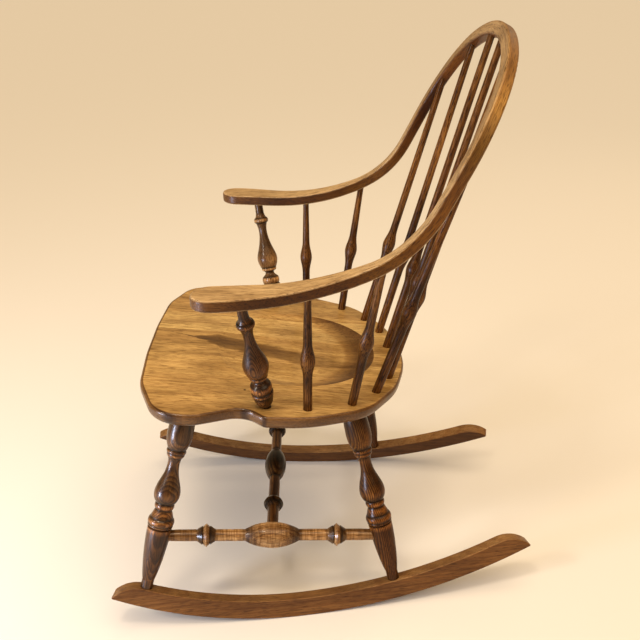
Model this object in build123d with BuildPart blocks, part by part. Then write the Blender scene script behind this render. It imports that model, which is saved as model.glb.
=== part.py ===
from build123d import *
from math import asin, cos, degrees, radians, sin, sqrt
import os

# Hoop back rocking chair: a shaped seat on four turned legs, two rockers, and one bent strip of wood
# that forms both arms and the hoop of the back. Millimetres, +Z up, the floor is Z = 0, the sitter
# faces -Y and +X is the sitter's left. The chair is the same on both sides of the X = 0 plane.

# ---------------------------------------------------------------- joints between pieces
GLUE_GAP = 0.15  # all round a round tenon in its socket
SOCKET_MOUTH = 15.0  # a drilled socket is cut this far past the surface it starts from
SEAT_SOCKET_DEPTH = 18.0  # legs, posts and spindles in the seat
BOW_SOCKET_DEPTH = 12.0  # posts and spindles in the arms and the hoop
ROCKER_SOCKET_DEPTH = 20.0  # legs in the rockers
STRETCHER_TIP_TO_AXIS = 4.0  # a stretcher stops this far short of the axis it points at

# ---------------------------------------------------------------- rockers
# Both bottoms lie on one pair of cylinders across the chair, which touch the floor in the same line
ROCKER_FRONT_RADIUS = 767.0
ROCKER_REAR_RADIUS = 1051.0
ROCKER_CONTACT_Y = -46.9  # the line on the floor, under the centre of mass
ROCKER_CUT_ANGLE = 40.0  # degrees, the cylinders run this far past the contact, beyond the tips
ROCKER_TRACK = 252.9  # half the distance between the outer bottom edges, at the contact
ROCKER_DEPTH = 33.7
ROCKER_THICKNESS = 25.0
ROCKER_FRONT_REACH = 324.7  # along the board, from the contact to the front tip
ROCKER_REAR_REACH = 419.9
ROCKER_TOE = 5.45  # degrees, the fronts stand wider apart
ROCKER_CANT = 12.2  # degrees, the tops lean inwards
ROCKER_TIP_ROUND = 56.0
ROCKER_EDGE_ROUND = 2.0

# ---------------------------------------------------------------- seat
SEAT_HEIGHT = 395.6  # top face above the floor, at Y = 0
SEAT_TILT = 7.0  # degrees, down to the back
SEAT_THICKNESS = 26.0
SEAT_TOP_ROUND = 5.0
SEAT_UNDER_ROUND = 18.0
SEAT_JOINTS = (-124.0, -46.0, 56.0, 128.0)  # X of the glue lines between the boards
SEAT_FRONT = -300.0
SEAT_BACK = 158.0
SEAT_PLAN = (  # corners of the left half, from the front to the back: X, Y in the seat's plane, radius
    (60.0, SEAT_FRONT, 600.0),
    (168.0, -293.0, 130.0),
    (263.0, -257.0, 56.0),
    (265.0, -195.0, 65.0),
    (228.0, -120.0, 34.0),
    (256.5, -87.0, 20.0),
    (251.0, -15.0, 200.0),
    (209.0, 83.0, 110.0),
    (126.0, 136.0, 160.0),
    (40.0, SEAT_BACK, 250.0),
)
DISH_CENTRE = -60.0
DISH_RADIUS = 165.0
DISH_FLAT = 104.0
DISH_DEPTH = 12.0
DISH_TILT = 2.2  # degrees, the dish runs out towards the front

# ---------------------------------------------------------------- bow: arms and hoop in one strip
BOW_THICKNESS = 19.0
BOW_ROUND = 4.0
ARM_TIP_Y = -176.5
ARM_ABOVE_SEAT = 228.7  # front face of the strip at the tip, above SEAT_HEIGHT
ARM_FLAT_LENGTH = 96.5  # straight front part of the arm
ARM_DROP = 2.9  # degrees, the arm falls to the back
ARM_BEND_RADIUS = 430.0
ARM_BEND = 22.0  # degrees, slow bend up behind the elbow
HOOP_BEND_RADIUS = 178.0
HOOP_LEAN = 60.7  # degrees above level
HOOP_HEIGHT = 262.0  # up the slope, from the end of the bend to the crown
HOOP_CROWN_RADIUS = 310.0
HOOP_SHOULDER_RADIUS = 192.9  # outer arcs between the crown and the straight sides
HOOP_HALF_WIDTH = 242.0
HOOP_CROWN_STRIP = 23.5  # width of the strip at the crown
HOOP_SIDE_STRIP = 24.0  # width of the strip where it turns into the arm
# Corners of the left arm's plan, from the hoop round the tip: X outside the hoop's side, Y, radius
ARM_PLAN = (
    (0.0, 158.0, 250.0),
    (23.0, 12.0, 600.0),
    (59.0, -125.0, 180.0),
    (62.0, ARM_TIP_Y, 27.0),
    (2.0, ARM_TIP_Y, 32.0),
    (-18.0, 20.0, 600.0),
    (-16.0, 105.0, 200.0),
    (-HOOP_SIDE_STRIP, 158.0, 200.0),
)
BAND_SPARE = 30.0  # the bent sheet runs this far past the outlines that are cut from it

# ---------------------------------------------------------------- legs
LEG_TENON = 28.0
LEG_FOOT = 20.6
# Along the rocker board, from the contact: where the leg's axis leaves the seat and meets the rocker
FRONT_LEG_HEAD = -159.5
FRONT_LEG_STAND = -260.0
REAR_LEG_HEAD = 110.8
REAR_LEG_STAND = 168.0
LEG_TO_STRETCHER = 245.0  # down the leg, from the seat to the side stretcher
REAR_LEG_LIFT = 7.0  # the rear legs' turning sits this much nearer the seat
LEG_SHOULDER = (8.0, 28.4)  # end of the tenon: distance below the seat, diameter
# Turning of the front leg: distance below the seat, diameter
LEG_BULB = ((29.0, 39.0), (50.0, 42.8), (66.0, 42.6), (78.0, 38.0), (87.0, 30.0))
LEG_COLLAR = ((87.0, 30.0), (90.3, 33.0), (93.8, 30.0))
LEG_COLLAR_FOOT = ((93.8, 30.0), (97.5, 29.6), (101.5, 24.0))
LEG_VASE = (
    (101.5, 24.0),
    (109.0, 20.6),
    (118.0, 20.6),
    (130.0, 24.2),
    (151.0, 38.0),
    (168.0, 43.8),
    (182.0, 34.0),
)
LEG_BEAD = ((183.0, 30.0), (189.0, 33.2), (195.0, 28.0))
LEG_FLARE = ((195.0, 28.0), (200.0, 31.6), (208.0, 37.5))
LEG_RING = ((210.0, 38.4), (216.0, 44.6), (222.0, 42.0))
LEG_RING_FOOT = ((222.0, 42.0), (224.5, 42.6), (226.5, 38.4))
LEG_GROOVE = (227.8, 36.6)
LEG_SHANK = ((229.3, 41.0), (238.0, 41.0))
LEG_SHANK_TAPER = ((0.32, 37.0), (0.70, 27.0))  # share of the shank's length, diameter

# ---------------------------------------------------------------- stretchers
STRETCHER_ROD = 19.8
STRETCHER_TENON = 19.0
STRETCHER_TENON_LENGTH = 22.0
STRETCHER_TENON_TAPER = 12.0
SIDE_BULB = 43.7
SIDE_BULB_LENGTH = 93.0
SIDE_RING_OFFSET = 112.0
# Ring on the side stretcher: distance from its middle, diameter
SIDE_RING = ((0.0, 39.0), (4.5, 32.0), (5.5, 29.0), (7.0, 31.5), (16.0, STRETCHER_ROD))
MIDDLE_BULB = 41.0
MIDDLE_BULB_LENGTH = 90.0
MIDDLE_RING_OFFSET = 125.0
MIDDLE_RING = ((0.0, 35.5), (7.0, 30.0), (8.0, 25.0), (9.0, 26.0), (14.0, STRETCHER_ROD))

# ---------------------------------------------------------------- posts and spindles
# Feet are places on the seat top, X and Y in its plane. Tops in the arm are X outside the hoop's side
# and the length along the strip from the tip of the arm. Tops in the hoop are the length along the
# hoop from its crown.
POST_FOOT = (221.0, -84.6)
POST_TOP = (25.5, 69.0)
POST_TENON = 16.0
# Turning of the post: distance above the seat, diameter
POST_BALL = ((4.2, 17.0), (7.0, 22.5), (14.0, 28.8), (28.0, 34.6))
POST_RING = ((28.0, 34.6), (30.5, 35.4), (33.5, 32.0))
POST_DISC = ((34.5, 31.6), (42.0, 34.6), (48.0, 31.5))
POST_COVE = ((48.0, 31.5), (52.0, 22.5), (56.0, 17.5), (61.0, 24.0))
POST_COLLAR = ((61.0, 26.0), (64.0, 29.8), (67.0, 28.4))
POST_VASE = (
    (67.0, 30.0),
    (77.0, 38.0),
    (86.0, 40.4),
    (108.0, 28.7),
    (123.0, 20.5),
    (143.0, 16.0),
    (159.0, 22.0),
)
POST_BEAD = ((159.5, 24.0), (165.0, 28.7), (170.0, 24.0))
POST_NECK = ((170.0, 22.5), (175.0, 18.0), (184.0, 16.4))
POST_NECK_STEP = 1.0  # from the neck to the round tenon
ARM_SPINDLE_FEET = ((222.0, -18.1), (195.0, 54.4))
ARM_SPINDLE_TOPS = ((9.6, 167.0), (1.3, 281.0))
ARM_SPINDLE_SWELLS = (94.0, 123.0)  # up from the seat
BACK_SPINDLE_FEET = ((30.0, 132.0), (94.0, 122.9), (148.5, 97.7))
BACK_SPINDLE_TOPS = (38.4, 132.0, 240.4)
BACK_SPINDLE_SWELL = 160.0
SPINDLE_SETBACK = 7.5  # behind the hoop's front face, at the tip of the tenon
SPINDLE_FOOT = 14.6
SPINDLE_TOP = 11.4
SPINDLE_SWELL = 23.6
SPINDLE_SWELL_LENGTH = 66.0
SPINDLE_ABOVE_SWELL = 0.2  # share of the way from the foot's diameter to the top's
SPINDLE_TENON_LENGTH = 30.0  # straight end at the top, long enough for a slanting socket

# ---------------------------------------------------------------- planes that the pieces share
SEAT_NORMAL = Vector(0, sin(radians(SEAT_TILT)), cos(radians(SEAT_TILT)))
seat_top = Plane(origin=(0, 0, SEAT_HEIGHT), x_dir=(1, 0, 0), z_dir=SEAT_NORMAL)
seat_under = seat_top.offset(-SEAT_THICKNESS)

toe, cant = radians(ROCKER_TOE), radians(ROCKER_CANT)
board_outwards = Vector(cos(cant) * cos(toe), cos(cant) * sin(toe), sin(cant))
board_middle = Vector(ROCKER_TRACK, ROCKER_CONTACT_Y, 0) - board_outwards * (ROCKER_THICKNESS / 2)
rocker_board = Plane(origin=board_middle, x_dir=(-sin(toe), cos(toe), 0), z_dir=board_outwards)
board_front_radius = ROCKER_FRONT_RADIUS * cos(cant) / cos(toe) ** 2
board_rear_radius = ROCKER_REAR_RADIUS * cos(cant) / cos(toe) ** 2


def bow_front_face(spare=0.0):
    """Side view of the bow's front face: flat arm, slow bend, hoop bend, slope of the hoop."""
    fall = Vector(cos(radians(ARM_DROP)), -sin(radians(ARM_DROP)))
    tip = Vector(ARM_TIP_Y, SEAT_HEIGHT + ARM_ABOVE_SEAT)
    arm = Line(tuple(tip - fall * spare), tuple(tip + fall * ARM_FLAT_LENGTH))
    elbow = JernArc(arm @ 1, arm % 1, ARM_BEND_RADIUS, ARM_BEND)
    rise = JernArc(elbow @ 1, elbow % 1, HOOP_BEND_RADIUS, HOOP_LEAN + ARM_DROP - ARM_BEND)
    Line(rise @ 1, rise @ 1 + rise % 1 * (HOOP_HEIGHT + spare))
    return rise @ 1


with BuildLine(Plane.YZ) as bow_side:
    hoop_start = bow_front_face()
hoop_front = Vector(0, -sin(radians(HOOP_LEAN)), cos(radians(HOOP_LEAN)))
hoop_plane = Plane(origin=hoop_start, x_dir=(1, 0, 0), z_dir=hoop_front)


# ---------------------------------------------------------------- turned pieces
def turning_plane(start, end):
    """Sketch plane of a turning: X runs out from its axis, Y along it, from start to end."""
    along = (end - start).normalized()
    side = Vector(0, 0, 1) if abs(along.X) > abs(along.Z) else Vector(1, 0, 0)
    outwards = (side - along * along.dot(side)).normalized()
    return Plane(origin=start, x_dir=outwards, z_dir=outwards.cross(along))


def turned(start, end, outline):
    """Turned piece about the line from start to end. The outline gets the length between them."""
    with BuildPart() as piece:
        with BuildSketch(turning_plane(start, end)):
            with BuildLine():
                outline((end - start).length)
            make_face()
        revolve(axis=Axis(start, end - start))
    return piece.part


def at(stations):
    """Outline points of stations that give a distance along the axis and a diameter."""
    return [(diameter / 2, along) for along, diameter in stations]


def smooth(stations):
    return Spline(*at(stations))


def bead(stations):
    return ThreePointArc(*at(stations))


def chain(*curves):
    """Straight lines that join each curve's end to the next one's start, where they differ."""
    for one, other in zip(curves, curves[1:]):
        if other @ 0 != one @ 1:
            Line(one @ 1, other @ 0)


def leg_outline(lift):
    """Outline of a leg whose turning sits this much nearer the seat."""

    def lifted(stations):
        return [(along - lift, diameter) for along, diameter in stations]

    def outline(length):
        shank = lifted(LEG_SHANK)
        shank_start, shank_length = shank[-1][0], length - shank[-1][0]
        taper = [(shank_start + share * shank_length, width) for share, width in LEG_SHANK_TAPER]
        tip, foot_tip = -SEAT_SOCKET_DEPTH, length + ROCKER_SOCKET_DEPTH
        groove = lifted((LEG_RING_FOOT[-1], LEG_GROOVE, LEG_SHANK[0]))
        chain(
            Polyline((0, tip), (LEG_TENON / 2, tip), (LEG_TENON / 2, 0)),
            smooth((LEG_SHOULDER, *lifted(LEG_BULB))),
            bead(lifted(LEG_COLLAR)),
            bead(lifted(LEG_COLLAR_FOOT)),
            smooth(lifted(LEG_VASE)),
            bead(lifted(LEG_BEAD)),
            smooth(lifted(LEG_FLARE)),
            bead(lifted(LEG_RING)),
            bead(lifted(LEG_RING_FOOT)),
            Polyline(*at(groove)),
            Spline(*at((*shank, *taper, (length - SOCKET_MOUTH, LEG_FOOT)))),
            Polyline((LEG_FOOT / 2, length), (LEG_FOOT / 2, foot_tip), (0, foot_tip), (0, tip)),
        )

    return outline


def post_outline(length):
    tip, top_tip = -SEAT_SOCKET_DEPTH, length
    foot, neck = POST_BALL[0][1] / 2, POST_TENON / 2
    chain(
        Polyline((0, tip), (foot, tip), (foot, 0)),
        smooth(POST_BALL),
        bead(POST_RING),
        bead(POST_DISC),
        smooth(POST_COVE),
        bead(POST_COLLAR),
        smooth(POST_VASE),
        bead(POST_BEAD),
        smooth(POST_NECK),
        Polyline((neck, POST_NECK[-1][0] + POST_NECK_STEP), (neck, top_tip), (0, top_tip), (0, tip)),
    )


def spindle_outline(swell_at):
    """Outline of a spindle with one swelling, this far above the seat."""

    def outline(length):
        tip, half = -SEAT_SOCKET_DEPTH, SPINDLE_SWELL_LENGTH / 2
        foot, top = SPINDLE_FOOT / 2, SPINDLE_TOP / 2
        above = foot + (top - foot) * SPINDLE_ABOVE_SWELL
        chain(
            Polyline((0, tip), (foot, tip), (foot, swell_at - half)),
            Spline(
                (foot, swell_at - half),
                (SPINDLE_SWELL / 2, swell_at),
                (above, swell_at + half),
                tangents=((0, 1), (0, 1)),
            ),
            Polyline((top, length - SPINDLE_TENON_LENGTH), (top, length), (0, length), (0, tip)),
        )

    return outline


def stretcher_outline(bulb, bulb_length, ring, ring_offset):
    """Outline of a stretcher with a long bulb in its middle and a ring on either side of it."""

    def outline(length):
        middle, rod, tenon = length / 2, STRETCHER_ROD / 2, STRETCHER_TENON / 2
        rod_start = STRETCHER_TENON_LENGTH + STRETCHER_TENON_TAPER
        before = [(diameter / 2, middle - ring_offset - along) for along, diameter in reversed(ring)]
        before += [(diameter / 2, middle - ring_offset + along) for along, diameter in ring[1:]]
        after = [(radius, length - along) for radius, along in reversed(before)]
        chain(
            Polyline((0, 0), (tenon, 0), (tenon, STRETCHER_TENON_LENGTH), (rod, rod_start)),
            Polyline(*before),
            ThreePointArc(
                (rod, middle - bulb_length / 2), (bulb / 2, middle), (rod, middle + bulb_length / 2)
            ),
            Polyline(*after),
            Polyline(
                (rod, length - rod_start),
                (tenon, length - STRETCHER_TENON_LENGTH),
                (tenon, length),
                (0, length),
                (0, 0),
            ),
        )

    return outline


# ---------------------------------------------------------------- where the pieces meet
def on_board(along, up):
    """Point in the middle plane of the left rocker board."""
    return rocker_board.from_local_coords((along, up, 0))


def board_top(along):
    radius = board_front_radius if along < 0 else board_rear_radius
    return on_board(along, radius - sqrt((radius - ROCKER_DEPTH) ** 2 - along**2))


def under_seat(along):
    """Point where the middle plane of the rocker board meets the seat's underside."""
    foot = on_board(along, 0)
    rise = (seat_under.origin - foot).dot(SEAT_NORMAL) / rocker_board.y_dir.dot(SEAT_NORMAL)
    return on_board(along, rise)


def on_seat(place):
    return seat_top.from_local_coords((place[0], place[1], 0))


def towards(start, end, distance):
    """Point this far from start on the way to end."""
    return start + (end - start).normalized() * distance


def in_arm(top):
    """Blind end of a socket in the arm, from its X and its length along the strip."""
    outside, along = top
    place = bow_side.wire().position_at(along, position_mode=PositionMode.LENGTH)
    strip = bow_side.wire().tangent_at(along, position_mode=PositionMode.LENGTH)
    down = strip.cross(Vector(-1, 0, 0))
    middle = Vector(HOOP_HALF_WIDTH + outside, place.Y, place.Z)
    return middle - down * (BOW_THICKNESS - BOW_SOCKET_DEPTH)


def hoop_half(inset_crown, inset_side):
    """Left half of the hoop's outline at these distances inside its outer edge."""
    # The crown runs into the shoulder where this line from the crown's centre cuts it
    lean = (HOOP_HALF_WIDTH - HOOP_SHOULDER_RADIUS) / (HOOP_CROWN_RADIUS - HOOP_SHOULDER_RADIUS)
    angle = degrees(asin(lean))
    crown_radius, half_width = HOOP_CROWN_RADIUS - inset_crown, HOOP_HALF_WIDTH - inset_side
    crown = CenterArc((0, HOOP_HEIGHT - HOOP_CROWN_RADIUS), crown_radius, 90, -angle)
    shoulder_radius = (half_width - crown_radius * lean) / (1 - lean)
    shoulder = JernArc(crown @ 1, crown % 1, shoulder_radius, angle - 90)
    Line(shoulder @ 1, (half_width, 0))


with BuildLine(hoop_plane.offset(-SPINDLE_SETBACK)) as hoop_middle:
    hoop_half(HOOP_CROWN_STRIP / 2, HOOP_SIDE_STRIP / 2)

front_head, front_stand = under_seat(FRONT_LEG_HEAD), board_top(FRONT_LEG_STAND)
rear_head, rear_stand = under_seat(REAR_LEG_HEAD), board_top(REAR_LEG_STAND)
front_joint = towards(front_head, front_stand, LEG_TO_STRETCHER)
rear_joint = towards(rear_head, rear_stand, LEG_TO_STRETCHER)
side_front_tip = towards(front_joint, rear_joint, STRETCHER_TIP_TO_AXIS)
side_rear_tip = towards(rear_joint, front_joint, STRETCHER_TIP_TO_AXIS)
side_middle = (front_joint + rear_joint) * 0.5
middle_tip = side_middle - Vector(STRETCHER_TIP_TO_AXIS, 0, 0)

post_foot, post_tip = on_seat(POST_FOOT), in_arm(POST_TOP)
arm_spindles = [(on_seat(foot), in_arm(top)) for foot, top in zip(ARM_SPINDLE_FEET, ARM_SPINDLE_TOPS)]
back_spindles = [
    (on_seat(foot), hoop_middle.wire().position_at(top, position_mode=PositionMode.LENGTH))
    for foot, top in zip(BACK_SPINDLE_FEET, BACK_SPINDLE_TOPS)
]


# ---------------------------------------------------------------- drilling
def drill(tip, mouth, diameter):
    """Blind socket with a flat end at its tip, open past its mouth. Cuts the part being built."""
    depth = (mouth - tip).length + SOCKET_MOUTH
    base = (Align.CENTER, Align.CENTER, Align.MIN)
    with Locations(Plane(origin=tip, z_dir=mouth - tip)):
        Cylinder(diameter / 2 + GLUE_GAP, depth, align=base, mode=Mode.SUBTRACT)


def drill_both_sides(tip, mouth, diameter):
    drill(tip, mouth, diameter)
    drill(Vector(-tip.X, tip.Y, tip.Z), Vector(-mouth.X, mouth.Y, mouth.Z), diameter)


# ---------------------------------------------------------------- bow
with BuildPart() as band:
    with BuildSketch(Plane.YZ):
        with BuildLine():
            bow_front_face(BAND_SPARE)
            offset(amount=BOW_THICKNESS, side=Side.RIGHT, closed=True)
        make_face()
    extrude(amount=HOOP_HALF_WIDTH * 2)

bend_end = Plane(origin=hoop_start, z_dir=hoop_plane.y_dir)
with BuildPart() as arm:
    add(band.part)
    with BuildSketch(Plane.XY):
        with BuildLine():
            back = hoop_start.Y + BOW_THICKNESS
            corners = [(HOOP_HALF_WIDTH + x, y) for x, y, radius in ARM_PLAN]
            radii = [radius for x, y, radius in ARM_PLAN]
            ends = ((corners[0][0], back), (corners[-1][0], back))
            plan = FilletPolyline(ends[0], *corners, ends[1], radius=radii)
            Line(plan @ 0, plan @ 1)
        make_face()
    extrude(amount=hoop_start.Z + HOOP_HEIGHT, mode=Mode.INTERSECT)
    split(bisect_by=bend_end, keep=Keep.BOTTOM)

with BuildPart() as hoop:
    add(band.part)
    split(bisect_by=bend_end, keep=Keep.TOP)
    with BuildSketch(hoop_plane):
        with BuildLine():
            hoop_half(0, 0)
            hoop_half(HOOP_CROWN_STRIP, HOOP_SIDE_STRIP)
            Line((HOOP_HALF_WIDTH - HOOP_SIDE_STRIP, 0), (HOOP_HALF_WIDTH, 0))
            Line((0, HOOP_HEIGHT - HOOP_CROWN_STRIP), (0, HOOP_HEIGHT))
        make_face()
    extrude(amount=2 * BOW_THICKNESS, both=True, mode=Mode.INTERSECT)

with BuildPart() as bow:
    add(arm.part)
    add(hoop.part)
    mirror(about=Plane.YZ)
    fillet(bow.edges(), radius=BOW_ROUND)
    drill_both_sides(post_tip, towards(post_tip, post_foot, BOW_SOCKET_DEPTH), POST_TENON)
    for foot, top in arm_spindles:
        drill_both_sides(top, towards(top, foot, BOW_SOCKET_DEPTH), SPINDLE_TOP)
    for foot, top in back_spindles:
        drill_both_sides(top, towards(top, foot, SPINDLE_TENON_LENGTH), SPINDLE_TOP)

# ---------------------------------------------------------------- seat
seat_axis = Axis(seat_top.origin, SEAT_NORMAL)
dish_normal = SEAT_NORMAL * cos(radians(DISH_TILT)) + seat_top.y_dir * sin(radians(DISH_TILT))
dish_back = on_seat((0, DISH_CENTRE + DISH_RADIUS))
dish_middle = dish_back + dish_normal.cross(Vector(-1, 0, 0)) * DISH_RADIUS
dish_plane = Plane(origin=dish_middle, x_dir=(1, 0, 0), z_dir=Vector(1, 0, 0).cross(dish_normal))
dish_axis = Axis(dish_middle, dish_normal)
with BuildPart() as seat:
    with BuildSketch(seat_top):
        with BuildLine():
            corners = [(x, y) for x, y, radius in SEAT_PLAN]
            radii = [radius for x, y, radius in SEAT_PLAN]
            FilletPolyline((0, SEAT_FRONT), *corners, (0, SEAT_BACK), radius=radii)
            mirror(about=Plane.YZ)
        make_face()
    extrude(amount=-SEAT_THICKNESS)
    fillet(seat.faces().sort_by(seat_axis)[-1].edges(), radius=SEAT_TOP_ROUND)
    fillet(seat.faces().sort_by(seat_axis)[0].edges(), radius=SEAT_UNDER_ROUND)
    # The dish: a flat round bottom with a cove up to a crisp rim, deepest at the back
    with BuildSketch(dish_plane):
        with BuildLine():
            Polyline((0, -DISH_DEPTH), (DISH_FLAT, -DISH_DEPTH))
            cove = TangentArc((DISH_FLAT, -DISH_DEPTH), (DISH_RADIUS, 0), tangent=(1, 0))
            rim = cove @ 1 + cove % 1 * DISH_DEPTH * 2
            Polyline(cove @ 1, rim, (0, 2 * DISH_DEPTH), (0, -DISH_DEPTH))
        make_face()
    revolve(axis=dish_axis, mode=Mode.SUBTRACT)
    drill_both_sides(towards(front_head, front_stand, -SEAT_SOCKET_DEPTH), front_head, LEG_TENON)
    drill_both_sides(towards(rear_head, rear_stand, -SEAT_SOCKET_DEPTH), rear_head, LEG_TENON)
    drill_both_sides(towards(post_foot, post_tip, -SEAT_SOCKET_DEPTH), post_foot, POST_BALL[0][1])
    for foot, top in (*arm_spindles, *back_spindles):
        drill_both_sides(towards(foot, top, -SEAT_SOCKET_DEPTH), foot, SPINDLE_FOOT)

seat_boards = []
seat_edges = (-HOOP_HALF_WIDTH * 2, *SEAT_JOINTS, HOOP_HALF_WIDTH * 2)
for left, right in zip(seat_edges, seat_edges[1:]):
    with BuildPart() as board:
        add(seat.part)
        split(bisect_by=Plane.YZ.offset(left), keep=Keep.TOP)
        split(bisect_by=Plane.YZ.offset(right), keep=Keep.BOTTOM)
    seat_boards.append(board.part)

# ---------------------------------------------------------------- rockers
with BuildPart() as rocker:
    with BuildSketch(rocker_board) as board_shape:
        with BuildLine():
            front = degrees(asin(ROCKER_FRONT_REACH / board_front_radius))
            rear = degrees(asin(ROCKER_REAR_REACH / board_rear_radius))
            front_centre, rear_centre = (0, board_front_radius), (0, board_rear_radius)
            front_top = CenterArc(front_centre, board_front_radius - ROCKER_DEPTH, -90 - front, front)
            rear_top = CenterArc(rear_centre, board_rear_radius - ROCKER_DEPTH, -90, rear)
            front_under = CenterArc(front_centre, board_front_radius + ROCKER_THICKNESS, -90 - front, front)
            rear_under = CenterArc(rear_centre, board_rear_radius + ROCKER_THICKNESS, -90, rear)
            Line(front_top @ 0, front_under @ 0)
            Line(rear_top @ 1, rear_under @ 1)
        make_face()
        fillet(board_shape.vertices().sort_by(Axis.Y)[-2:], radius=ROCKER_TIP_ROUND)
    extrude(amount=ROCKER_THICKNESS / 2, both=True)
    with BuildSketch(Plane.YZ):
        with BuildLine():
            front_side = CenterArc(
                (ROCKER_CONTACT_Y, ROCKER_FRONT_RADIUS),
                ROCKER_FRONT_RADIUS,
                -90 - ROCKER_CUT_ANGLE,
                ROCKER_CUT_ANGLE,
            )
            rear_side = CenterArc(
                (ROCKER_CONTACT_Y, ROCKER_REAR_RADIUS), ROCKER_REAR_RADIUS, -90, ROCKER_CUT_ANGLE
            )
            Line(front_side @ 0, rear_side @ 1)
        make_face()
    extrude(amount=2 * ROCKER_TRACK, mode=Mode.INTERSECT)
    fillet(rocker.edges(), radius=ROCKER_EDGE_ROUND)
    drill(towards(front_stand, front_head, -ROCKER_SOCKET_DEPTH), front_stand, LEG_FOOT)
    drill(towards(rear_stand, rear_head, -ROCKER_SOCKET_DEPTH), rear_stand, LEG_FOOT)


# ---------------------------------------------------------------- legs and stretchers
def drilled_leg(head, stand, lift, stretcher_tip, stretcher_far_tip):
    """Leg with the blind socket of its side stretcher."""
    with BuildPart() as leg:
        add(turned(head, stand, leg_outline(lift)))
        leg_side = towards(stretcher_tip, stretcher_far_tip, LEG_SHANK[0][1] / 2)
        drill(stretcher_tip, leg_side, STRETCHER_TENON)
    return leg.part


front_leg = drilled_leg(front_head, front_stand, 0, side_front_tip, side_rear_tip)
rear_leg = drilled_leg(rear_head, rear_stand, REAR_LEG_LIFT, side_rear_tip, side_front_tip)

side_outline = stretcher_outline(SIDE_BULB, SIDE_BULB_LENGTH, SIDE_RING, SIDE_RING_OFFSET)
with BuildPart() as side_stretcher:
    add(turned(side_front_tip, side_rear_tip, side_outline))
    inwards = Vector(0, middle_tip.Y, middle_tip.Z)
    drill(middle_tip, towards(middle_tip, inwards, SIDE_BULB / 2), STRETCHER_TENON)

middle_outline = stretcher_outline(MIDDLE_BULB, MIDDLE_BULB_LENGTH, MIDDLE_RING, MIDDLE_RING_OFFSET)
middle_stretcher = turned(Vector(-middle_tip.X, middle_tip.Y, middle_tip.Z), middle_tip, middle_outline)

# ---------------------------------------------------------------- files
def mirrored(part):
    """The same piece on the other side of the chair."""
    with BuildPart() as other:
        mirror(part, about=Plane.YZ)
    return other.part


def save(part, name):
    part.label = name
    export_step(part, f"parts/{name}.step")


left_pieces = {
    "rocker": rocker.part,
    "leg_front": front_leg,
    "leg_rear": rear_leg,
    "side_stretcher": side_stretcher.part,
    "arm_post": turned(post_foot, post_tip, post_outline),
}
for number, ((foot, top), swell) in enumerate(zip(arm_spindles, ARM_SPINDLE_SWELLS), start=1):
    left_pieces[f"arm_spindle_{number}"] = turned(foot, top, spindle_outline(swell))
for number, (foot, top) in enumerate(back_spindles, start=1):
    left_pieces[f"back_spindle_{number}"] = turned(foot, top, spindle_outline(BACK_SPINDLE_SWELL))

os.makedirs("parts", exist_ok=True)
save(bow.part, "bow")
save(middle_stretcher, "middle_stretcher")
for number, board in enumerate(seat_boards, start=1):
    save(board, f"seat_board_{number}")
for name, part in left_pieces.items():
    save(part, f"{name}_left")
    save(mirrored(part), f"{name}_right")
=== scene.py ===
from math import asin, cos, radians, sin

import bpy
import numpy as np
from mathutils import Matrix, Vector

# Hoop back rocking chair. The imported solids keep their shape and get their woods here. Metres, +Z up, the
# sitter faces -Y and +X is the sitter's left. Materials work in millimetres, with Z along the grain.

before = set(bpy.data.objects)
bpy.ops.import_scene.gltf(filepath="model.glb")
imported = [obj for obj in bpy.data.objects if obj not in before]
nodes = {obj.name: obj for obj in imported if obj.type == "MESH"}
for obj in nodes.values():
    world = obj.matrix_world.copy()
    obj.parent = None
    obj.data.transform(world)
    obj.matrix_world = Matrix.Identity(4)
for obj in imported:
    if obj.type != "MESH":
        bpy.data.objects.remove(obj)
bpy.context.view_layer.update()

MM = 0.001
TO_MM = (1 / MM, 1 / MM, 1 / MM)

# ---------------------------------------------------------------- sizes that the woods follow
# Millimetres and radians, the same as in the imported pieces
SEAT_TILT = radians(7.0)
SEAT_HEIGHT = 395.6
SEAT_SOCKET = 18.0  # tenon hidden in the seat
REAR_LEG_LIFT = 7.0  # the rear legs' turning sits this much nearer the seat
ARM_SPINDLE_SWELLS = (94.0, 123.0)  # thickest place of the first and second arm spindle, above the seat
BACK_SPINDLE_SWELL = 160.0
ARM_TIP = Vector((-176.5, 624.3))  # Y, Z of the bow's front face at the tip of the arm
ARM_FLAT_LENGTH = 96.5
ARM_DROP = radians(2.9)
ARM_BEND_RADIUS = 430.0
ARM_BEND = radians(22.0)
HOOP_BEND_RADIUS = 178.0
HOOP_LEAN = radians(60.7)
HOOP_HEIGHT = 262.0
HOOP_CROWN_RADIUS = 310.0
HOOP_SHOULDER_RADIUS = 192.9
HOOP_HALF_WIDTH = 242.0
BOW_THICKNESS = 19.0
ROCKER_TOE = radians(5.45)


def linear(text):
    """Scene-linear RGBA of an sRGB hex colour."""
    parts = [int(text[i : i + 2], 16) / 255 for i in (1, 3, 5)]
    return (*(c / 12.92 if c <= 0.04045 else ((c + 0.055) / 1.055) ** 2.4 for c in parts), 1.0)


def add(tree, kind, inputs=None, stops=None, **settings):
    """Adds a node. An input gets a value, or a link from the socket or node that is given for it."""
    node = tree.nodes.new(kind)
    for name, value in settings.items():
        setattr(node, name, value)
    for name, value in (inputs or {}).items():
        if isinstance(value, bpy.types.Node):
            value = next(socket for socket in value.outputs if socket.enabled)
        if isinstance(value, bpy.types.NodeSocket):
            tree.links.new(value, node.inputs[name])
        else:
            node.inputs[name].default_value = value
    if stops:
        marks = node.color_ramp.elements
        while len(marks) < len(stops):
            marks.new(0.5)
        for mark, (place, colour) in zip(marks, stops):
            mark.position = place
            mark.color = linear(colour)
    return node


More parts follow.
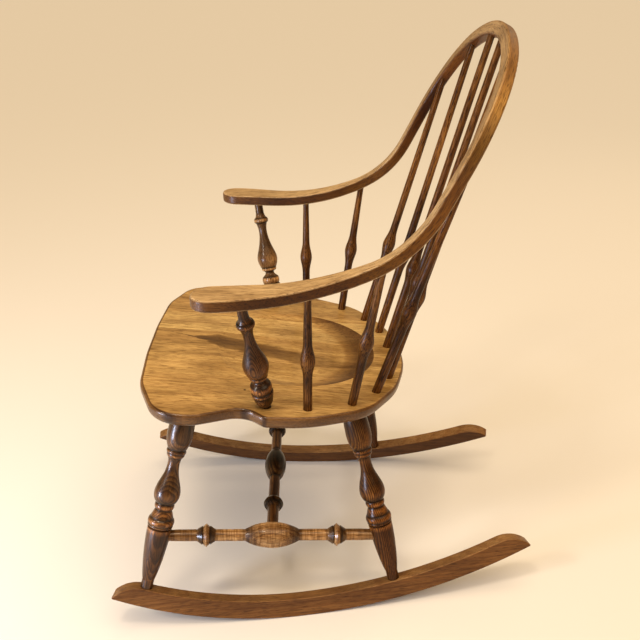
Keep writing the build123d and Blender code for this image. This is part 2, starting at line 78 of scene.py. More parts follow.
def new_material(name):
    """An empty material and its node tree."""
    material = bpy.data.materials.new(name)
    material.use_nodes = True
    material.node_tree.nodes.clear()
    return material, material.node_tree


# ---------------------------------------------------------------- the figure that all the woods share
# Noises of the figure: size of a feature in mm, across the grain both ways and along it, then detail. The
# pores of the real wood are 0.3 mm wide, too fine to show, so they are drawn 0.9 mm wide.
FIGURE_NOISES = {
    "Sway": ((45.0, 45.0, 300.0), 2.0),  # slow bends of the rings, drawn out along the grain
    "Pore": ((0.9, 0.9, 16.0), 1.0),  # short dark dashes
    "Cloud": ((34.0, 34.0, 110.0), 3.0),  # patches where the stain took more or less
    "Streak": ((4.0, 4.0, 130.0), 2.0),  # long soft bands a few millimetres wide
}
# Where the noises turn from dark to plain
PORE_EDGE = 0.05
CLOUD_SPAN = (0.34, 0.64)
STREAK_SPAN = (0.34, 0.62)
ROUGH_SPAN = (0.35, 0.65)  # of the cloud, from the least rough to the most
RING_RISE = 0.22  # share of a ring in which its porous early wood, dark with stain, grows paler
LATE_WOOD = 0.84  # place in the ring of its hardest and palest wood
RING_RELIEF = 0.15  # height of a ring beside the depth of a pore
PORE_DEPTH = 0.3 * MM
LACQUER_IOR = 1.5


def figure_group():
    """Figure of a ring-porous hardwood in millimetres: Z along the grain, the pith at X = Y = 0."""
    tree = bpy.data.node_groups.new("hardwood figure", "ShaderNodeTree")
    for name, kind in (("Point", "Vector"), ("Ring width", "Float"), ("Wander", "Float")):
        tree.interface.new_socket(name, in_out="INPUT", socket_type="NodeSocket" + kind)
    for name in ("Ring", "Pore", "Cloud", "Streak"):
        tree.interface.new_socket(name, in_out="OUTPUT", socket_type="NodeSocketFloat")
    start = add(tree, "NodeGroupInput")
    point = start.outputs["Point"]
    noises = {}
    for name, (size, detail) in FIGURE_NOISES.items():
        place = add(tree, "ShaderNodeVectorMath", {0: point, 1: size}, operation="DIVIDE")
        noises[name] = add(tree, "ShaderNodeTexNoise", {"Vector": place, "Scale": 1.0, "Detail": detail})
    # Rings: the distance from the pith, pushed about by the sway
    swing = add(tree, "ShaderNodeMath", {0: noises.pop("Sway"), 1: 0.5}, operation="SUBTRACT")
    push = add(tree, "ShaderNodeMath", {0: swing, 1: start.outputs["Wander"]}, operation="MULTIPLY")
    flat = add(tree, "ShaderNodeVectorMath", {0: point, 1: (1, 1, 0)}, operation="MULTIPLY")
    radius = add(tree, "ShaderNodeVectorMath", {0: flat}, operation="LENGTH")
    turns = add(tree, "ShaderNodeMath", {0: radius.outputs["Value"], 1: push}, operation="ADD")
    count = add(tree, "ShaderNodeMath", {0: turns, 1: start.outputs["Ring width"]}, operation="DIVIDE")
    ring = add(tree, "ShaderNodeMath", {0: count}, operation="FRACT")
    add(tree, "NodeGroupOutput", {"Ring": ring, **noises})
    return tree


FIGURE = figure_group()


def grain_point(tree, origin, turn):
    """Point in mm in a piece's own frame. The origin is in metres and turn is a 3 by 3 matrix of axes."""
    place = add(tree, "ShaderNodeTexCoord")
    local = add(
        tree,
        "ShaderNodeMapping",
        {"Vector": place.outputs["Object"], "Location": origin, "Rotation": turn.to_euler()},
        vector_type="TEXTURE",
    )
    return add(tree, "ShaderNodeVectorMath", {0: local, 1: TO_MM}, operation="MULTIPLY").outputs[0]


def stained_wood(tree, point, look, pith, tints):
    """Stained and lacquered wood: colour, roughness and relief from the figure around its pith, in mm."""
    moved = add(tree, "ShaderNodeVectorMath", {0: point, 1: pith}, operation="SUBTRACT")
    grain = {"Point": moved, "Ring width": look["ring"], "Wander": look["wander"]}
    figure = add(tree, "ShaderNodeGroup", grain, node_tree=FIGURE)
    early, mid, late = look["rings"]
    first = look["early"]
    ring = figure.outputs["Ring"]
    ring_stops = [(0.0, early), (first, early), (first + RING_RISE, mid), (LATE_WOOD, late), (1.0, early)]
    colour = add(tree, "ShaderNodeValToRGB", {"Fac": ring}, ring_stops)
    pore_span = (look["pore_at"] - PORE_EDGE, look["pore_at"] + PORE_EDGE)
    layers = {}
    for name, (dark_at, plain_at) in (("Pore", pore_span), ("Cloud", CLOUD_SPAN), ("Streak", STREAK_SPAN)):
        layer_stops = [(dark_at, look[name.lower()]), (plain_at, "#ffffff")]
        layers[name] = add(tree, "ShaderNodeValToRGB", {"Fac": figure.outputs[name]}, layer_stops)
    for layer in (*layers.values(), *tints):
        both = {"Factor": 1.0, "A": colour, "B": layer}
        colour = add(tree, "ShaderNodeMix", both, data_type="RGBA", blend_type="MULTIPLY")
    (from_min, from_max), (to_min, to_max) = ROUGH_SPAN, look["rough"]
    rough_ends = {"From Min": from_min, "From Max": from_max, "To Min": to_min, "To Max": to_max}
    rough = add(tree, "ShaderNodeMapRange", {"Value": figure.outputs["Cloud"], **rough_ends})
    ridge = add(tree, "ShaderNodeMath", {0: ring, 1: RING_RELIEF}, operation="MULTIPLY")
    relief = add(tree, "ShaderNodeMath", {0: ridge, 1: layers["Pore"]}, operation="ADD")
    bump = add(tree, "ShaderNodeBump", {"Height": relief, "Strength": look["bump"], "Distance": PORE_DEPTH})
    shader = add(
        tree,
        "ShaderNodeBsdfPrincipled",
        {
            "Base Color": colour,
            "Roughness": rough,
            "Normal": bump,
            "IOR": LACQUER_IOR,
            "Specular IOR Level": look["specular"],
            "Coat Weight": look["coat"],
            "Coat Roughness": look["coat_rough"],
            "Coat IOR": LACQUER_IOR,
        },
    )
    add(tree, "ShaderNodeOutputMaterial", {"Surface": shader})


def clothe(node, material):
    """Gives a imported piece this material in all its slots."""
    mesh = nodes[node].data
    if not mesh.materials:
        mesh.materials.append(material)
    for slot in nodes[node].material_slots:
        slot.material = material


# ---------------------------------------------------------------- turned pieces
# Oak, lathe-turned, dark stain wiped off the round parts and left in the grooves, semi-gloss lacquer:
# tight rings that make pointed arches on the bulbs, near-black lines in the grooves, partly that stain and
# partly painted shade, and golden shoulders that are painted highlights. A glaze list gives these shades by
# the distance in mm from a place that each kind of piece counts from.
TURNED = {
    "ring": 2.6,  # mm from ring to ring
    "wander": 12.0,  # mm that the sway can push a ring
    "early": 0.2,  # share of a ring that is early wood
    "rings": ("#744a22", "#a06c38", "#c48c4e"),
    "cloud": "#a89e94",
    "streak": "#d4cec6",
    "pore": "#a09488",
    "pore_at": 0.42,  # more of the surface is pores where this is higher
    "rough": (0.30, 0.42),
    "bump": 0.2,
    "specular": 0.14,
    "coat": 0.15,
    "coat_rough": 0.12,
}
LEG = {
    **TURNED,
    "name": "turned oak leg, glazed walnut stain",
    "specular": 0.2,
    "coat": 0.3,
    # The glaze list: stain in the grooves, with painted highlights on the rings and shoulders and painted
    # shade
    "glaze_and_light": [
        (0, "#6f6d69"),
        (28, "#82807b"),
        (56, "#a4a19b"),
        (78, "#c1beb6"),
        (85, "#555350"),
        (87.5, "#74726d"),
        (90.5, "#e0d8cc"),
        (93.6, "#2b2b29"),
        (97, "#f0e8dc"),
        (101, "#65635f"),
        (108, "#c1bdb5"),
        (125, "#9e9b95"),
        (150, "#84827c"),
        (170, "#c1bdb5"),
        (180, "#65635f"),
        (183, "#252423"),
        (189, "#fff4e4"),
        (195, "#292827"),
        (200, "#ece4d8"),
        (207, "#9e9b95"),
        (209.6, "#2b2b29"),
        (216, "#fff8ee"),
        (222, "#474643"),
        (224.5, "#c1bdb5"),
        (227.8, "#0f0f0e"),
        (230.5, "#f0e8dc"),
        (238, "#807668"),
        (325, "#948878"),
        (340, "#6f6d69"),
    ],
}
# The rear legs get darker, warmer rings as painted shade, and are less shiny
REAR_LEG = {**LEG, "rings": ("#6a4018", "#985e2a", "#c0843e"), "specular": 0.12, "coat": 0.08}
POST = {
    **TURNED,
    "name": "turned oak arm post, glazed walnut stain",
    "glaze_and_light": [
        (0, "#2c2824"),
        (6, "#80766a"),
        (18, "#9c9082"),
        (25, "#6c6258"),
        (27.5, "#3a342e"),
        (30.5, "#d0c4b4"),
        (33.5, "#2c2824"),
        (38, "#c8bcac"),
        (44, "#fff4e4"),
        (48, "#4c443c"),
        (54, "#948878"),
        (60, "#4c443c"),
        (64, "#fff4e4"),
        (67.5, "#4c443c"),
        (72, "#b8ac9c"),
        (82, "#b8ac9c"),
        (94, "#8c8072"),
        (112, "#6c6258"),
        (140, "#786c60"),
        (156, "#80766a"),
        (160, "#3a342e"),
        (165, "#d8ccbc"),
        (169, "#4c443c"),
        (173, "#a89c8c"),
        (179, "#6c6258"),
        (196, "#a09484"),
    ],
}
# The right arm post is drawn paler than the left
PALE_POST = {**POST, "rings": ("#d8a470", "#f8cc90", "#ffe0a8")}
SIDE_STRETCHER = {
    **TURNED,
    "name": "turned oak side stretcher, golden stain",
    "specular": 0.18,
    "coat": 0.25,
    "rings": ("#d4a870", "#f0c68c", "#fcd8a0"),
    "ring": 5.0,
    "chatter": "#c8bcac",
    "glaze_and_light": [
        (0, "#f4ece0"),
        (20, "#d8ccbc"),
        (33, "#94867a"),
        (41, "#5c5048"),
        (47, "#8c7e70"),
        (58, "#dcd0c0"),
        (92, "#d4c8b8"),
        (99, "#7c7064"),
        (105, "#4c443c"),
        (108, "#b8aa9a"),
        (112, "#d8ccbc"),
        (116, "#b8aa9a"),
        (119, "#4c443c"),
        (125, "#7c7064"),
        (131, "#d0c4b4"),
        (176, "#b8ac9c"),
        (186, "#6c6056"),
    ],
}
MIDDLE_STRETCHER = {
    **TURNED,
    "name": "turned oak middle stretcher, walnut stain",
    "ring": 5.0,
    "glaze_and_light": [
        (0, "#474643"),
        (22, "#575551"),
        (38, "#817f7a"),
        (46, "#474643"),
        (54, "#c4bcb0"),
        (108, "#b4aca0"),
        (115, "#3a3937"),
        (120, "#676561"),
        (125, "#817f7a"),
        (131, "#3a3937"),
        (136, "#676561"),
        (142, "#989288"),
        (215, "#989288"),
    ],
}
SPINDLE = {
    **TURNED,
    "name": "turned oak spindle, walnut stain",
    "ring": 3.0,
    "rings": ("#8a5c2a", "#a07038", "#ae7e44"),
    "pore": "#6c6056",
    "pore_at": 0.44,
    "bump": 0.35,
    "specular": 0.1,
    "coat": 0.06,
    "coat_rough": 0.25,
    "glaze_and_light": [
        (0, "#b8ac9c"),
        (20, "#a09484"),
        (36, "#84786c"),
        (70, "#b0a494"),
        (160, "#d4c8b8"),
        (300, "#c0b4a4"),
    ],
}
# Marks of the lathe tool: faint bands across the grain, 3 mm apart
CHATTER = (30.0, 30.0, 3.0)
CHATTER_SPAN = (0.38, 0.58)


def turning_axis(name):
    """Lower end, direction and length of a turned piece's axis, from the spread of its corners."""
    mesh = nodes[name].data
    points = np.empty(len(mesh.vertices) * 3)
    mesh.vertices.foreach_get("co", points)
    points = points.reshape(-1, 3)
    middle = (points.min(0) + points.max(0)) / 2
    along = np.linalg.eigh(np.cov((points - middle).T))[1][:, 2]
    along *= np.sign(along[np.argmax(np.abs(along))])
    reach = (points - middle) @ along
    return Vector(middle + along * reach.min()), Vector(along), float(reach.max() - reach.min())


def turned_wood(name, look, pith, centre=None, downwards=False):
    """Wood of a turned piece. Its glaze of stain, painted highlights and painted shade counts from the
    centre, which is given in mm from its first end.
    """
    start, along, length = turning_axis(name)
    if downwards:
        start, along = start + along * length, -along
    if centre is None:
        centre = length / MM / 2
    side = along.orthogonal().normalized()
    turn = Matrix((side, along.cross(side), along)).transposed()
    material, tree = new_material(look["name"] + " " + name)
    point = grain_point(tree, start, turn)
    up = add(tree, "ShaderNodeSeparateXYZ", {0: point}).outputs["Z"]
    offset = add(tree, "ShaderNodeMath", {0: up, 1: centre}, operation="SUBTRACT")
    distance = add(tree, "ShaderNodeMath", {0: offset}, operation="ABSOLUTE")
    # Glaze ramp along the axis: stain left in the grooves plus painted highlights and painted shade
    reach = look["glaze_and_light"][-1][0]
    share = add(tree, "ShaderNodeMath", {0: distance, 1: reach}, operation="DIVIDE")
    glaze_and_light_stops = [(place / reach, shade) for place, shade in look["glaze_and_light"]]
    tints = [add(tree, "ShaderNodeValToRGB", {"Fac": share}, glaze_and_light_stops)]
    if "chatter" in look:
        across = add(tree, "ShaderNodeVectorMath", {0: point, 1: CHATTER}, operation="DIVIDE")
        band = add(tree, "ShaderNodeTexNoise", {"Vector": across, "Scale": 1.0, "Detail": 1.0})
        chatter_stops = list(zip(CHATTER_SPAN, (look["chatter"], "#ffffff")))
        tints.append(add(tree, "ShaderNodeValToRGB", {"Fac": band}, chatter_stops))
    stained_wood(tree, point, look, pith, tints)
    clothe(name, material)


# The three numbers move the pith from the first end of the axis, in mm, so that no two figures are alike
for side, sign in (("left", 1), ("right", -1)):
    turned_wood(f"leg_front_{side}", LEG, (22 * sign, 10, 40), SEAT_SOCKET, downwards=True)
    rear_centre = SEAT_SOCKET - REAR_LEG_LIFT
    turned_wood(f"leg_rear_{side}", REAR_LEG, (-19, 21 * sign, 260), rear_centre, downwards=True)
    turned_wood(f"arm_post_{side}", POST if sign > 0 else PALE_POST, (16, -27 * sign, 90), SEAT_SOCKET)
    turned_wood(f"side_stretcher_{side}", SIDE_STRETCHER, (-70 * sign, -60, 150))
    for number, swell, (x, y, z) in zip((1, 2), ARM_SPINDLE_SWELLS, ((27, 17, 70), (-19, 31, 140))):
        turned_wood(f"arm_spindle_{number}_{side}", SPINDLE, (x, y, z * sign), SEAT_SOCKET + swell)
    for number, (x, y, z) in enumerate(((18, -20, 110), (-23, 12, 220), (11, 14, 330)), start=1):
        centre = SEAT_SOCKET + BACK_SPINDLE_SWELL
        turned_wood(f"back_spindle_{number}_{side}", SPINDLE, (x, y, z * sign), centre)
turned_wood("middle_stretcher", MIDDLE_STRETCHER, (33, 12, 20))

# ---------------------------------------------------------------- seat boards
# Glued hardwood boards, planed and dished, golden brown stain under satin lacquer: fine low-contrast
# grain from front to back with short dark dashes, one dark heartwood streak, edges and the dish's cove
# darker, partly stain taken up by end grain and partly painted shade.
SEAT = {
    "name": "glued hardwood seat board, golden stain",
    "ring": 11.0,
    "wander": 30.0,
    "early": 0.10,
    "rings": ("#c2a26a", "#caaa70", "#ceb074"),
    "cloud": "#c8c0b4",
    "streak": "#e6e0d6",
    "pore": "#b8ae9e",
    "pore_at": 0.42,
    "rough": (0.30, 0.42),
    "bump": 0.15,
    "specular": 0.2,
    "coat": 0.3,
    "coat_rough": 0.14,
}
# In mm, X and Y in the seat's plane
HEARTWOOD_TIP = (-17.0, -218.0)
HEARTWOOD_SLOPE = 0.25  # sideways for each mm to the back
HEARTWOOD_WIDENS = {"From Min": -8.0, "From Max": 40.0, "To Min": 1.0, "To Max": 27.0}  # half its width
HEARTWOOD_FADES = {"From Min": 150.0, "From Max": 330.0, "To Min": 1.0, "To Max": 0.0}
RAGGED = (1 / 14, 0, 1 / 50)  # its edge wanders in waves 14 mm wide and 50 mm long
RAGGED_REACH = 14.0
DENT = (172.0, -121.0)  # a small knock that holds stain
DENT_REACH = 5.0
FIGURE_STEP = 400  # along the grain from the figure of one board to the next
seat_normal = Vector((0, sin(SEAT_TILT), cos(SEAT_TILT)))
seat_front = Vector((0, -cos(SEAT_TILT), sin(SEAT_TILT)))
seat_turn = Matrix(((1, 0, 0), -seat_normal, (0, cos(SEAT_TILT), -sin(SEAT_TILT)))).transposed()
# Tint and pith of each board, from the sitter's right to the left
BOARDS = (
    ("#f0e8e0", -180, 60),
    ("#ffffff", -60, 95),
    ("#ece4da", 20, -85),
    ("#fffaf2", 110, 80),
    ("#f8f0e6", 230, -60),
)
for number, (tint, pith_x, pith_y) in enumerate(BOARDS, start=1):
    material, tree = new_material(f"{SEAT['name']} {number}")
    point = grain_point(tree, (0, 0, SEAT_HEIGHT * MM), seat_turn)
    axes = add(tree, "ShaderNodeSeparateXYZ", {0: point})
    # By the slope of the surface the seat's edges and the dish's cove are darker, partly end grain that
    # drinks more stain and partly painted shade
    slope = add(tree, "ShaderNodeNewGeometry")
    normal = slope.outputs["Normal"]
    upright = add(tree, "ShaderNodeVectorMath", {0: normal, 1: seat_normal}, operation="DOT_PRODUCT")
    end_grain_and_shade_stops = [(0.0, "#8c7868"), (0.88, "#9c8878"), (0.95, "#d0c2b2"), (0.985, "#ffffff")]
    end_grain_and_shade = add(tree, "ShaderNodeValToRGB", {"Fac": upright.outputs["Value"]}, end_grain_and_shade_stops)
    # Painted shade on the slopes that face the front, as at the back of the dish
    facing = add(tree, "ShaderNodeVectorMath", {0: normal, 1: seat_front}, operation="DOT_PRODUCT")
    cove_dark = [(0.05, "#d0c4b4"), (0.15, "#948474"), (0.3, "#948474")]
    cove_stops = [(-0.01, "#ffffff"), *cove_dark, (0.5, "#ffffff")]
    cove = add(tree, "ShaderNodeValToRGB", {"Fac": facing.outputs["Value"]}, cove_stops)
    # Heartwood: a dark streak that widens from its tip and fades out at the back
    back = add(tree, "ShaderNodeMath", {0: axes.outputs["Z"], 1: HEARTWOOD_TIP[1]}, operation="SUBTRACT")
    drift = add(tree, "ShaderNodeMath", {0: back, 1: HEARTWOOD_SLOPE}, operation="MULTIPLY")
    aside = add(tree, "ShaderNodeMath", {0: axes.outputs["X"], 1: HEARTWOOD_TIP[0]}, operation="SUBTRACT")
    apart = add(tree, "ShaderNodeMath", {0: aside, 1: drift}, operation="SUBTRACT")
    wavy = add(tree, "ShaderNodeVectorMath", {0: point, 1: RAGGED}, operation="MULTIPLY")
    ragged = add(tree, "ShaderNodeTexNoise", {"Vector": wavy, "Scale": 1.0, "Detail": 2.0})
    rag_ends = {"To Min": -RAGGED_REACH, "To Max": RAGGED_REACH}
    rag = add(tree, "ShaderNodeMapRange", {"Value": ragged, **rag_ends})
    shifted = add(tree, "ShaderNodeMath", {0: apart, 1: rag}, operation="ADD")
    distance = add(tree, "ShaderNodeMath", {0: shifted}, operation="ABSOLUTE")
    half_width = add(tree, "ShaderNodeMapRange", {"Value": back, **HEARTWOOD_WIDENS})
    inside = add(tree, "ShaderNodeMath", {0: distance, 1: half_width}, operation="DIVIDE")
    heart_stops = [(0.2, "#968a7c"), (0.65, "#a89c8a"), (1.0, "#ffffff")]
    heart = add(tree, "ShaderNodeValToRGB", {"Fac": inside}, heart_stops)
    fade = add(tree, "ShaderNodeMapRange", {"Value": back, **HEARTWOOD_FADES})
    faded = {"Factor": fade, "A": linear("#ffffff"), "B": heart}
    heart = add(tree, "ShaderNodeMix", faded, data_type="RGBA")
    dent_place = (DENT[0], 0, DENT[1])
    dent_axis = add(tree, "ShaderNodeVectorMath", {0: point, 1: (1, 0, 1)}, operation="MULTIPLY")
    dent_far = add(tree, "ShaderNodeVectorMath", {0: dent_axis, 1: dent_place}, operation="DISTANCE")
    dent_way = dent_far.outputs["Value"]
    dent_share = add(tree, "ShaderNodeMath", {0: dent_way, 1: DENT_REACH}, operation="DIVIDE")
    dent = add(tree, "ShaderNodeValToRGB", {"Fac": dent_share}, [(0.25, "#5a4030"), (0.6, "#ffffff")])
    tints = (linear(tint), end_grain_and_shade, cove, heart, dent)
    stained_wood(tree, point, SEAT, (pith_x, pith_y, FIGURE_STEP * number), tints)
    clothe(f"seat_board_{number}", material)

# ---------------------------------------------------------------- rockers
# Bandsawn hardwood, sanded, red-brown stain, thin satin lacquer: calm straight grain, soft clouds, upright
# sides darker as painted shade.
ROCKER = {
    "name": "bandsawn hardwood rocker, red-brown stain",
    "ring": 9.0,
    "wander": 20.0,
    "early": 0.12,
    "rings": ("#845e34", "#8c683c", "#926e42"),
    "cloud": "#d0c8be",
    "streak": "#d8d0c8",
    "pore": "#b8aea2",
    "pore_at": 0.41,
    "rough": (0.40, 0.52),
    "bump": 0.2,
    "specular": 0.16,
    "coat": 0.15,
    "coat_rough": 0.3,
}
ROCKER_X = 0.25  # metres, about the middle of the board
# Painted shade on the upright sides of the two boards, deeper on the right one, which stands in the chair's
# shadow
ROCKER_SIDE_PAINTED_SHADE = {"left": "#ccb8a0", "right": "#a48c70"}  # the sawn sides of the two boards
lengthways = Matrix(((1, 0, 0), (0, 0, -1), (0, 1, 0))).transposed()
for side, sign in (("left", 1), ("right", -1)):
    material, tree = new_material(f"{ROCKER['name']} {side}")
    toe = Matrix.Rotation(sign * ROCKER_TOE, 3, "Z")
    point = grain_point(tree, (sign * ROCKER_X, 0, 0), toe @ lengthways)
    slope = add(tree, "ShaderNodeNewGeometry")
    upward = add(tree, "ShaderNodeSeparateXYZ", {0: slope.outputs["Normal"]})
    side_stops = [(0.3, ROCKER_SIDE_PAINTED_SHADE[side]), (0.75, "#f4ece0"), (1.0, "#ffffff")]
    side_tone_and_painted_shade = add(tree, "ShaderNodeValToRGB", {"Fac": upward.outputs["Z"]}, side_stops)
    stained_wood(tree, point, ROCKER, (60 * sign, 150, 300 * sign), (side_tone_and_painted_shade,))
    clothe(f"rocker_{side}", material)

# ---------------------------------------------------------------- bow
# Steam-bent oak, brown stain in its open pores, satin lacquer: long fine lines that follow the bends,
# tan on the wide faces with painted light on the arm tops, darker on the sawn sides, partly stain and
# partly painted shade.
BOW = {
    "name": "steam-bent oak bow, brown stain",
    "ring": 5.0,
    "wander": 3.0,
    "early": 0.16,
    "rings": ("#b89a70", "#c0a478", "#c6aa7e"),
    "cloud": "#d4ccc0",
    "streak": "#e8e2d8",
    "pore": "#a09484",
    "pore_at": 0.42,
    "rough": (0.36, 0.48),
    "bump": 0.3,
    "specular": 0.16,
    "coat": 0.15,
    "coat_rough": 0.22,
}


def heading(angle):
    """Y, Z direction at this angle above level."""
    return Vector((cos(angle), sin(angle)))


def bow_point(tree):
    """Point in the strip's own millimetres: across it, through it, and along it round all its bends.

    The way along counts from the crown. Also returns the way through, and the run from the arm's tip.
    """
    elbow = ARM_BEND - ARM_DROP  # heading between the slow bend and the hoop's bend
    quarter = radians(90)
    arm_bend_start = ARM_TIP + heading(-ARM_DROP) * ARM_FLAT_LENGTH
    arm_centre = arm_bend_start + heading(quarter - ARM_DROP) * ARM_BEND_RADIUS
    hoop_centre = arm_centre - heading(quarter + elbow) * (ARM_BEND_RADIUS - HOOP_BEND_RADIUS)
    hoop_start = hoop_centre - heading(quarter + HOOP_LEAN) * HOOP_BEND_RADIUS
    arm_arc = ARM_BEND_RADIUS * ARM_BEND
    hoop_arc = HOOP_BEND_RADIUS * (HOOP_LEAN - elbow)
    place = add(tree, "ShaderNodeTexCoord")
    scaled = add(tree, "ShaderNodeVectorMath", {0: place.outputs["Object"], 1: TO_MM}, operation="MULTIPLY")
    world = add(tree, "ShaderNodeSeparateXYZ", {0: scaled})
    halved = add(tree, "ShaderNodeMath", {0: world.outputs["X"]}, operation="ABSOLUTE")

    def from_line(origin, direction):
        """Distance in the side view from origin, measured in this direction."""
        line = Vector((0, *direction))
        whole = add(tree, "ShaderNodeVectorMath", {0: scaled, 1: line}, operation="DOT_PRODUCT")
        before = direction.dot(origin)
        return add(tree, "ShaderNodeMath", {0: whole.outputs["Value"], 1: before}, operation="SUBTRACT")

    def around(right, up, centre):
        """Radius and angle about a centre: the angle grows from up towards right."""
        x = add(tree, "ShaderNodeMath", {0: right, 1: centre[0]}, operation="SUBTRACT")
        y = add(tree, "ShaderNodeMath", {0: up, 1: centre[1]}, operation="SUBTRACT")
        flat = add(tree, "ShaderNodeCombineXYZ", {"X": x, "Y": y})
        length = add(tree, "ShaderNodeVectorMath", {0: flat}, operation="LENGTH").outputs["Value"]
        return length, add(tree, "ShaderNodeMath", {0: x, 1: y}, operation="ARCTAN2")

    def past(angle, limit, before, after):
        """The second value where the angle is past its limit, else the first."""
        beyond = add(tree, "ShaderNodeMath", {0: angle, 1: limit}, operation="GREATER_THAN")
        return add(tree, "ShaderNodeMix", {"Factor": beyond, "A": before, "B": after})

    # Side view: through the strip from its front face, and the run along it from the tip of the arm
    depth = add(tree, "ShaderNodeMath", {0: world.outputs["Z"], 1: -1.0}, operation="MULTIPLY")
    arm_radius, arm_turn = around(world.outputs["Y"], depth, (arm_centre.x, -arm_centre.y))
    hoop_radius, hoop_turn = around(world.outputs["Y"], depth, (hoop_centre.x, -hoop_centre.y))
    in_arm_bend = add(tree, "ShaderNodeMath", {0: arm_radius, 1: ARM_BEND_RADIUS}, operation="SUBTRACT")
    in_hoop_bend = add(tree, "ShaderNodeMath", {0: hoop_radius, 1: HOOP_BEND_RADIUS}, operation="SUBTRACT")
    under_arm = from_line(ARM_TIP, -heading(quarter - ARM_DROP))
    behind_hoop = from_line(hoop_start, -heading(quarter + HOOP_LEAN))
    through = past(arm_turn, -ARM_DROP, under_arm, in_arm_bend)
    through = past(arm_turn, elbow, through, in_hoop_bend)
    through = past(hoop_turn, HOOP_LEAN, through, behind_hoop)
    up_slope = from_line(hoop_start, heading(HOOP_LEAN))
    flat_run = from_line(ARM_TIP, heading(-ARM_DROP))
    run = add(tree, "ShaderNodeMath", {0: flat_run, 1: ARM_FLAT_LENGTH}, operation="MINIMUM")
    above = add(tree, "ShaderNodeMath", {0: up_slope, 1: 0.0}, operation="MAXIMUM")
    arm_ends = {"From Min": -ARM_DROP, "From Max": elbow, "To Min": 0.0, "To Max": arm_arc}
    hoop_ends = {"From Min": elbow, "From Max": HOOP_LEAN, "To Min": 0.0, "To Max": hoop_arc}
    arm_run = add(tree, "ShaderNodeMapRange", {"Value": arm_turn, **arm_ends})
    hoop_run = add(tree, "ShaderNodeMapRange", {"Value": hoop_turn, **hoop_ends})
    for part in (above, arm_run, hoop_run):
        run = add(tree, "ShaderNodeMath", {0: run, 1: part}, operation="ADD")

    # Front view of the hoop: across the strip from its outer edge, and round it from the crown
    lean = asin((HOOP_HALF_WIDTH - HOOP_SHOULDER_RADIUS) / (HOOP_CROWN_RADIUS - HOOP_SHOULDER_RADIUS))
    crown_centre = Vector((0, HOOP_HEIGHT - HOOP_CROWN_RADIUS))
    shoulder_offset = Vector((sin(lean), cos(lean))) * (HOOP_CROWN_RADIUS - HOOP_SHOULDER_RADIUS)
    shoulder_centre = crown_centre + shoulder_offset
    crown_radius, crown_turn = around(halved, up_slope, crown_centre)
    shoulder_radius, shoulder_turn = around(halved, up_slope, shoulder_centre)
    at_side = add(tree, "ShaderNodeMath", {0: HOOP_HALF_WIDTH, 1: halved}, operation="SUBTRACT")
    outer = HOOP_SHOULDER_RADIUS
    at_shoulder = add(tree, "ShaderNodeMath", {0: outer, 1: shoulder_radius}, operation="SUBTRACT")
    at_crown = add(tree, "ShaderNodeMath", {0: HOOP_CROWN_RADIUS, 1: crown_radius}, operation="SUBTRACT")
    across = past(crown_turn, lean, at_crown, at_shoulder)
    across = past(shoulder_turn, quarter, across, at_side)
    crown_ends = {"From Max": lean, "To Max": HOOP_CROWN_RADIUS * lean}
    shoulder_arc = HOOP_SHOULDER_RADIUS * (quarter - lean)
    shoulder_ends = {"From Min": lean, "From Max": quarter, "To Max": shoulder_arc}
    down_crown = add(tree, "ShaderNodeMapRange", {"Value": crown_turn, **crown_ends})
    down_shoulder = add(tree, "ShaderNodeMapRange", {"Value": shoulder_turn, **shoulder_ends})
    whole_side = ARM_FLAT_LENGTH + arm_arc + hoop_arc + shoulder_centre.y
    shorter = add(tree, "ShaderNodeMath", {0: run, 1: whole_side}, operation="MINIMUM")
    down_side = add(tree, "ShaderNodeMath", {0: whole_side, 1: shorter}, operation="SUBTRACT")
    round_hoop = add(tree, "ShaderNodeMath", {0: down_crown, 1: down_shoulder}, operation="ADD")
    whole = add(tree, "ShaderNodeMath", {0: round_hoop, 1: down_side}, operation="ADD")
    side = add(tree, "ShaderNodeMath", {0: world.outputs["X"]}, operation="SIGN")
    along = add(tree, "ShaderNodeMath", {0: whole, 1: side}, operation="MULTIPLY")
    point = add(tree, "ShaderNodeCombineXYZ", {"X": across, "Y": through, "Z": along})
    return point.outputs[0], through, run


# In mm
BOW_PITH = (190, -60, 0)
STAIN_AND_LIGHT_REACH = 700.0  # of the run from the arm's tip, which ends near the crown
INNER_EDGE = {"From Min": 19.0, "From Max": 23.0}  # across the strip, the last few millimetres of its face
HOOP_RUN = {"From Min": 360.0, "From Max": 460.0}  # of the run, where the arm turns into the hoop
material, tree = new_material(BOW["name"])
point, through, run = bow_point(tree)
share = add(tree, "ShaderNodeMath", {0: through, 1: BOW_THICKNESS}, operation="DIVIDE")
side_stops = [(0.03, "#000000"), (0.16, "#ffffff"), (0.84, "#ffffff"), (0.97, "#404040")]
sawn = add(tree, "ShaderNodeValToRGB", {"Fac": share}, side_stops)
run_share = add(tree, "ShaderNodeMath", {0: run, 1: STAIN_AND_LIGHT_REACH}, operation="DIVIDE")
# Painted light on the arm tops and painted shade up the hoop: the front face darkens along the run from the
# arm's tip
face_stops = [(0.4, "#ffffff"), (0.7, "#d4c8b8"), (0.95, "#dcd2c4")]
face = add(tree, "ShaderNodeValToRGB", {"Fac": run_share}, face_stops)
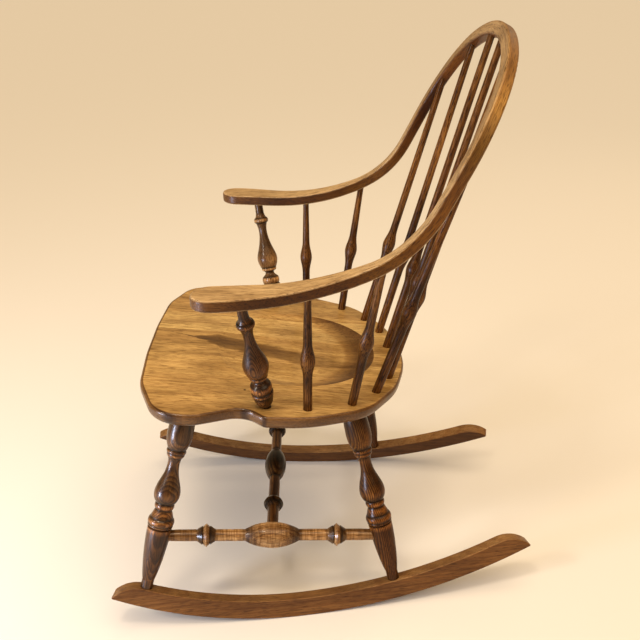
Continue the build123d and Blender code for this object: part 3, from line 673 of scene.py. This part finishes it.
# The sawn sides: dark along the arms, partly stain and partly painted shade, and golden on the upper hoop,
# a painted highlight where they catch the light
side_stain_and_light_stops = [
    (0.0, "#8c6c40"),
    (0.16, "#5c3e1a"),
    (0.33, "#704f1c"),
    (0.38, "#7c5d26"),
    (0.43, "#8b692c"),
    (0.53, "#876228"),
    (0.61, "#846030"),
    (0.66, "#7f6338"),
    (0.7, "#887040"),
    (0.74, "#aa9262"),
    (0.79, "#f0d8a0"),
    (0.86, "#c0a474"),
    (0.93, "#b49870"),
]
side_stain_and_light = add(tree, "ShaderNodeValToRGB", {"Fac": run_share}, side_stain_and_light_stops)
side_tone_and_painted_shade = add(tree, "ShaderNodeMix", {"Factor": sawn, "A": face, "B": side_stain_and_light}, data_type="RGBA")
# The hoop's inner edge, where hands and cloths do not reach, kept its dark stain
across = add(tree, "ShaderNodeSeparateXYZ", {0: point}).outputs["X"]
from_inside = add(tree, "ShaderNodeMapRange", {"Value": across, **INNER_EDGE})
on_hoop = add(tree, "ShaderNodeMapRange", {"Value": run, **HOOP_RUN})
inner = add(tree, "ShaderNodeMath", {0: from_inside, 1: on_hoop}, operation="MULTIPLY")
inner_tint = add(tree, "ShaderNodeValToRGB", {"Fac": inner}, [(0.0, "#ffffff"), (1.0, "#a48468")])
stained_wood(tree, point, BOW, BOW_PITH, (side_tone_and_painted_shade, inner_tint))
clothe("bow", material)

# ---------------------------------------------------------------- studio
FLOOR_SIZE = 120  # metres
bpy.ops.mesh.primitive_plane_add(size=FLOOR_SIZE, location=(0, 0, 0))
floor = bpy.context.object
floor.name = "studio_floor"
# Matt painted floor: pale and even, without gloss, so that it carries only the chair's soft shadow
material, tree = new_material("matt painted floor")
paint = {"Base Color": linear("#d8d6d2"), "Roughness": 0.9, "Specular IOR Level": 0.2}
shader = add(tree, "ShaderNodeBsdfPrincipled", paint)
add(tree, "ShaderNodeOutputMaterial", {"Surface": shader})
floor.data.materials.append(material)

AIM = Vector((0, 0, 0.45))  # the middle of the chair, which all lamps face
# Name, kind, place in metres, size in metres (the sun's in degrees), power, tint
LAMPS = (
    ("sky", "SUN", (0.3, 0.3, 2.2), 60, 2.6, "#ffe4c0"),
    ("ceiling", "AREA", (0.95, -0.4, 2.3), 0.3, 12, "#ffe8c8"),
    ("window", "AREA", (1.1, -1.7, 0.36), 0.5, 44, "#d4e2ff"),
    ("key", "AREA", (1.3, -2.0, 1.9), 0.4, 25, "#fff2e2"),
    ("camera_side", "AREA", (2.4, 1.5, 2.3), 1.2, 15, "#ffcf98"),
    ("behind", "AREA", (-2.0, 1.9, 2.2), 1.5, 6, "#ffdcb0"),
)
for name, kind, place, size, power, tint in LAMPS:
    lamp = bpy.data.lights.new(name, kind)
    lamp.energy = power
    if kind == "SUN":
        lamp.angle = radians(size)
    else:
        lamp.shape, lamp.size = "SQUARE", size
    lamp.color = linear(tint)[:3]
    holder = bpy.data.objects.new(name, lamp)
    holder.location = place
    holder.rotation_euler = (AIM - Vector(place)).to_track_quat("-Z", "Y").to_euler()
    bpy.context.scene.collection.objects.link(holder)

world = bpy.data.worlds.new("studio")
bpy.context.scene.world = world
world.use_nodes = True
backdrop = world.node_tree.nodes["Background"]
backdrop.inputs["Color"].default_value = linear("#ffe0b0")
backdrop.inputs["Strength"].default_value = 0.36

view = bpy.data.cameras.new("camera")
view.sensor_width = 36.0
view.lens = 46.58
camera = bpy.data.objects.new("camera", view)
camera.location = (1.3646, 0.0034, 1.0624)
camera.rotation_euler = (radians(65.91), radians(2.138), radians(88.846))
bpy.context.scene.collection.objects.link(camera)
bpy.context.scene.camera = camera
bpy.context.scene.view_settings.view_transform = "Standard"
